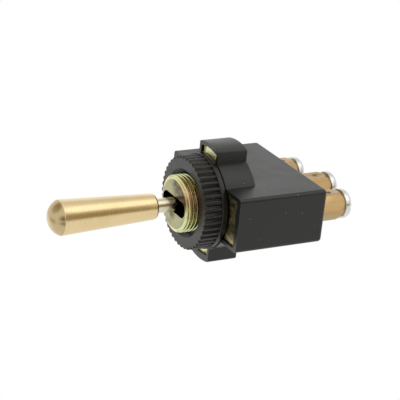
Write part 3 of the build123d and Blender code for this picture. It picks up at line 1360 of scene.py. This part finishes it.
@dataclass
class Case:
    """The moulded housing and the plated steel plate in its front."""

    edge: Softening = (0.12 * MM, 50.0)
    plate_edge: Softening = (0.15 * MM, 50.0)

    def build(self, finishes: Finishes, nodes: PackedPieces) -> None:
        """Soften and dress the housing and its plate.

        Args:
            finishes: the switch's finishes.
            nodes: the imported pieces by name.
        """
        housing = Bench.merged_copy(nodes["housing"], "moulded_housing")
        Bench.soften(housing, *self.edge)
        Bench.fit(housing, Body.FIXED, "black_plastic", ["housing"], finishes.housing)
        plate = Bench.merged_copy(nodes["mounting_plate"], "steel_plate")
        Bench.soften(plate, *self.plate_edge)
        Bench.fit(
            plate, Body.FIXED, "yellow_zinc", ["mounting_plate"], finishes.zinc_sheet
        )


@dataclass
class Terminal:
    """One hexagonal brass post with its bright screw."""

    name: str
    x: float
    end_y: float
    root_y: float = 20.5 * MM
    strip_y: float = 17.7 * MM
    flats: float = 5.6 * MM
    chamfer: float = 0.45 * MM
    chamfer_long: float = 1.4 * MM
    shank_r: float = 1.6 * MM
    tap_r: float = 1.25 * MM
    tap_deep: float = 4.5 * MM
    hole_r: float = 0.55 * MM
    hole_sink: float = 0.2 * MM
    hole_from_end: float = 2.8 * MM
    head_r: float = 3.15 * MM
    head_thick: float = 1.9 * MM
    dome: float = 1.2 * MM
    dome_wide: float = 1.5 * MM
    screw_long: float = 4.0 * MM
    drive_wide: float = 0.8 * MM
    drive_deep: float = 0.8 * MM
    under_edge: float = 0.12 * MM
    point_share: float = 0.7
    point_long: float = 0.3 * MM
    dome_steps: int = 8
    post_soft: Softening = (0.1 * MM, 40.0)
    screw_soft: Softening = (0.06 * MM, 40.0)
    sink_past: float = 0.01 * MM

    def post(self) -> bpy.types.Object:
        """The hexagonal bar, its turned end, its rivet shank and its tapped hole.

        Returns:
            The finished object.
        """
        corner_r = self.flats / math.sqrt(3)
        piece = Bench.rod(f"{self.name}_post", corner_r, self.root_y, self.end_y, sides=6)
        Bench.edit()
        bpy.ops.transform.rotate(value=math.pi / 6, orient_axis="Y", center_override=(0, 0, 0))
        bpy.ops.object.mode_set(mode="OBJECT")
        turned = Bench.turn("turned_end", [
            (corner_r, self.root_y - PAST), (corner_r, self.end_y - self.chamfer_long),
            (corner_r - self.chamfer, self.end_y),
        ])
        Bench.cut(piece, turned, "INTERSECT")
        Bench.soften(piece, *self.post_soft)
        shank = Bench.rod("shank", self.shank_r, self.strip_y, self.root_y + PAST)
        Bench.cut(piece, shank, "UNION")
        tap = Bench.rod("tap", self.tap_r, self.end_y - self.tap_deep, self.end_y + PAST)
        Bench.cut(piece, tap)
        place = self.end_y - self.hole_from_end
        Bench.cut(piece, Bench.drill("cross_hole", self.hole_r, place, self.flats, sides=32))
        for side in (-1, 1):
            Bench.cut(piece, self.countersink(place, side))
        return self.placed(piece)

    def countersink(self, y: float, side: int) -> bpy.types.Object:
        """A cone that breaks one edge of the cross hole.

        Args:
            y: the hole's place along Y.
            side: 1 for its upper edge, -1 for its lower one.

        Returns:
            The cutter.
        """
        Bench.clear()
        bpy.ops.mesh.primitive_cone_add(
            vertices=32, radius1=self.hole_r + self.hole_sink,
            radius2=self.hole_r - self.hole_sink, depth=2 * self.hole_sink,
            location=(0, y, side * (self.flats / 2 - self.hole_sink + self.sink_past)),
            rotation=(math.pi if side > 0 else 0, 0, 0),
        )
        return Bench.made("countersink")

    def screw(self) -> bpy.types.Object:
        """The pan head with its domed rim and drive slot, and the plain shank below it.

        Returns:
            The finished object.
        """
        top, point = self.end_y + self.head_thick, self.end_y - self.screw_long
        rim = []
        for step in range(self.dome_steps + 1):
            turn = math.pi / 2 * step / self.dome_steps
            radius = self.head_r - self.dome_wide * (1 - math.cos(turn))
            rim.append((radius, top - self.dome * (1 - math.sin(turn))))
        piece = Bench.turn(f"{self.name}_screw", [
            (self.tap_r * self.point_share, point), (self.tap_r, point + self.point_long),
            (self.tap_r, self.end_y), (self.head_r - self.under_edge, self.end_y),
            (self.head_r, self.end_y + self.under_edge), *rim,
        ], sides=96)
        half, reach = self.drive_wide / 2, 2 * self.head_r
        slot = Bench.block(
            "drive_slot", (-reach, top - self.drive_deep, -half), (reach, top + reach, half)
        )
        Bench.cut(piece, slot)
        Bench.soften(piece, *self.screw_soft)
        return self.placed(piece)

    def placed(self, piece: bpy.types.Object) -> bpy.types.Object:
        """Move a piece to this terminal's place along X.

        Args:
            piece: the piece, modelled on the Y axis.

        Returns:
            The same object.
        """
        piece.location = (self.x, 0, 0)
        Bench.settle(piece)
        Bench.smooth(piece)
        return piece

    def build(self, finishes: Finishes, nodes: PackedPieces) -> None:
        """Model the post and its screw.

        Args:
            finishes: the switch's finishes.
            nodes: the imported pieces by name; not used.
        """
        post, screw = f"{self.name}_terminal_post", f"{self.name}_terminal_screw"
        Bench.fit(self.post(), Body.FIXED, "post_brass", [post], finishes.post)
        Bench.fit(self.screw(), Body.FIXED, "nickel_plate", [screw], finishes.nickel)


@dataclass
class Inside:
    """The contacts, rocker and pin inside the housing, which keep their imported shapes."""

    brass: tuple[str, ...] = ("rocker_contact", "centre_contact", "left_contact", "right_contact")
    silver: tuple[str, ...] = (
        "left_contact_tip", "right_contact_tip", "rocker_left_tip", "rocker_right_tip",
    )

    def build(self, finishes: Finishes, nodes: PackedPieces) -> None:
        """Give each hidden piece its finish.

        Args:
            finishes: the switch's finishes.
            nodes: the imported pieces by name.
        """
        dressed = {name: finishes.sheet_brass for name in self.brass}
        dressed.update({name: finishes.silver for name in self.silver})
        dressed["pivot_pin"] = finishes.stem
        for name, material in dressed.items():
            mesh = nodes[name].data
            mesh.materials.clear()
            mesh.materials.append(material)
            LOG.info("%s: dressed with %s", name, material.name)


@dataclass
class Studio:
    """The pale floor, soft light and the camera at the photograph's angle."""

    azimuth: float = 60.06
    elevation: float = 22.37
    roll: float = 5.5
    distance: float = 288.0 * MM
    aim: Point = (0.0, 0.86 * MM, 0.0)
    offset: tuple[float, float] = (1.577 * MM, 0.025 * MM)
    focal_pixels: float = 1393.5
    frame_pixels: float = 400.0
    sensor: float = 36.0
    floor_z: float = -0.12
    floor_half: float = 3.0
    floor_grey: float = 0.92
    floor_roughness: float = 0.9
    bounce: float = 0.40
    patch_core: float = 0.3
    pool_core: float = 0.2
    clip: tuple[float, float] = (0.01, 20.0)
    patches: list[tuple[Point, float, Colour]] = field(default_factory=lambda: [
        ((0.85, 0.46, 0.22), 36.0, (0.34, 0.26, 0.14)),
        ((-0.45, -0.60, 0.66), 36.0, (0.40, 0.33, 0.22)),
        ((-0.55, 0.46, 0.70), 26.0, (0.80, 0.80, 0.82)),
        ((-0.80, 0.46, 0.38), 26.0, (1.18, 1.18, 1.18)),
        ((0.74, -0.62, 0.04), 30.0, (0.22, 0.17, 0.10)),
    ])
    # Painted pools of light and shade on the floor, seen only in reflections: x, y, radius and
    # change of strength.
    pools: list[tuple[float, float, float, float]] = field(default_factory=lambda: [
        (-0.26, -0.16, 0.26, 0.35), (0.36, -0.27, 0.30, -0.80), (-0.15, -0.45, 0.30, -0.55),
    ])
    lamps: list[tuple[str, Point, float, float]] = field(default_factory=lambda: [
        ("top_box", (0.20, 0.28, 0.50), 0.36, 0.26),
        ("front_box", (-0.30, -0.50, 0.35), 0.20, 0.03),
        ("post_card", (0.053, 0.052, 0.032), 0.04, 0.004),
    ])

    def camera(self) -> None:
        """Stand the camera where the photograph was taken from."""
        azimuth, elevation = math.radians(self.azimuth), math.radians(self.elevation)
        roll = math.radians(self.roll)
        back = Vector((
            math.sin(azimuth) * math.cos(elevation), -math.cos(azimuth) * math.cos(elevation),
            math.sin(elevation),
        ))
        level = Vector((math.cos(azimuth), math.sin(azimuth), 0))
        rise = back.cross(level)
        right = level * math.cos(roll) + rise * math.sin(roll)
        up = rise * math.cos(roll) - level * math.sin(roll)
        aside = right * self.offset[0] + up * self.offset[1]
        place = Vector(self.aim) - aside + back * self.distance
        data = bpy.data.cameras.new("photo_camera")
        data.sensor_width = self.sensor
        data.lens = self.focal_pixels * self.sensor / self.frame_pixels
        data.clip_start, data.clip_end = self.clip
        camera = bpy.data.objects.new("photo_camera", data)
        turn = Matrix((right, up, back)).transposed().to_4x4()
        camera.matrix_world = Matrix.Translation(place) @ turn
        bpy.context.scene.collection.objects.link(camera)
        bpy.context.scene.camera = camera

    def world(self) -> None:
        """A white surround for the camera and reflections, dimmer where the studio is unlit."""
        world = bpy.data.worlds.new("white_studio")
        world.use_nodes = True
        bpy.context.scene.world = world
        n = Tree(world.node_tree)
        direction = n.add("ShaderNodeTexCoord").outputs["Generated"]
        shine: Value = evenly(1.0)
        for centre, wide, colour in self.patches:
            toward = n.vectors("DOT_PRODUCT", direction, tuple(Vector(centre).normalized()))
            edge, core = (math.cos(math.radians(wide * part)) for part in (1, self.patch_core))
            share = n.remap(toward, 0.0, 1.0, edge, core, "SMOOTHSTEP")
            shine = n.mix(share, shine, colour, "MULTIPLY")
        rays = n.add("ShaderNodeLightPath").outputs
        seen = n.maths("MAXIMUM", rays["Is Camera Ray"], rays["Is Transmission Ray"])
        unseen = n.mix(rays["Is Glossy Ray"], evenly(self.bounce), shine)
        background = n.tree.nodes["Background"].inputs
        n.feed(background["Color"], n.mix(seen, unseen, evenly(1.0)))
        n.feed(background["Strength"], 1.0)

    def floor(self) -> None:
        """A pale floor below the switch, plain white to the camera, with painted pools of light and
        shade that show only in reflections.
        """
        Bench.clear()
        bpy.ops.mesh.primitive_plane_add(
            size=2 * self.floor_half, location=(0, 0, self.floor_z)
        )
        plane = bpy.context.object
        plane.name = "pale_floor"
        n = Nodes("pale_floor")
        rays = n.add("ShaderNodeLightPath").outputs
        strength: Value = 1.0
        # Painted pools of light and shade, for reflected rays only.
        for x, y, wide, change in self.pools:
            away = n.vectors("DISTANCE", n.place, (x, y, 0.0))
            near = n.remap(away, 0.0, change, wide, wide * self.pool_core, "SMOOTHSTEP")
            strength = n.maths("MULTIPLY_ADD", near, rays["Is Glossy Ray"], strength)
        glow = n.add("ShaderNodeEmission", {"Strength": strength})
        lit = n.maths("MAXIMUM", rays["Is Camera Ray"], rays["Is Glossy Ray"])
        surface = {0: lit, 1: n.shader.outputs[0], 2: glow.outputs[0]}
        mixed = n.add("ShaderNodeMixShader", surface)
        n.feed(n.tree.nodes["Material Output"].inputs["Surface"], mixed.outputs[0])
        material = n.dress({
            "Base Color": evenly(self.floor_grey), "Roughness": self.floor_roughness,
        })
        plane.data.materials.append(material)

    def light(self) -> None:
        """Two soft lamps, above and in front, and a small one beside the posts."""
        for name, place, size, power in self.lamps:
            data = bpy.data.lights.new(name, "AREA")
            data.shape = "SQUARE"
            data.size = size
            data.energy = power
            lamp = bpy.data.objects.new(name, data)
            lamp.location = place
            lamp.rotation_mode = "QUATERNION"
            lamp.rotation_quaternion = (-Vector(place)).to_track_quat("-Z", "Y")
            bpy.context.scene.collection.objects.link(lamp)

    def build(self) -> None:
        """Set the whole studio up."""
        bpy.context.scene.view_settings.view_transform = "Standard"
        self.camera()
        self.world()
        self.floor()
        self.light()
        LOG.info("studio: %d lamps", len(self.lamps))


def terminals() -> list[Terminal]:
    """The three terminals, with the middle post standing further back.

    Returns:
        The left, centre and right terminal.
    """
    spacing, end, extra = 9.4 * MM, 27.0 * MM, 2.5 * MM
    return [
        Terminal("left", -spacing, end),
        Terminal("centre", 0.0, end + extra),
        Terminal("right", spacing, end),
    ]


def main() -> None:
    """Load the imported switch, model and dress each sub-assembly, and set the studio."""
    logging.basicConfig(level=logging.INFO, format="%(name)s: %(message)s")
    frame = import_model()
    nodes = frame["nodes"]
    Studio().build()
    finishes = Finishes()
    for part in (Lever(), PanelBush(), Case(), *terminals(), Inside()):
        part.build(finishes, nodes)
    bpy.context.view_layer.update()


if __name__ == "__main__":
    main()
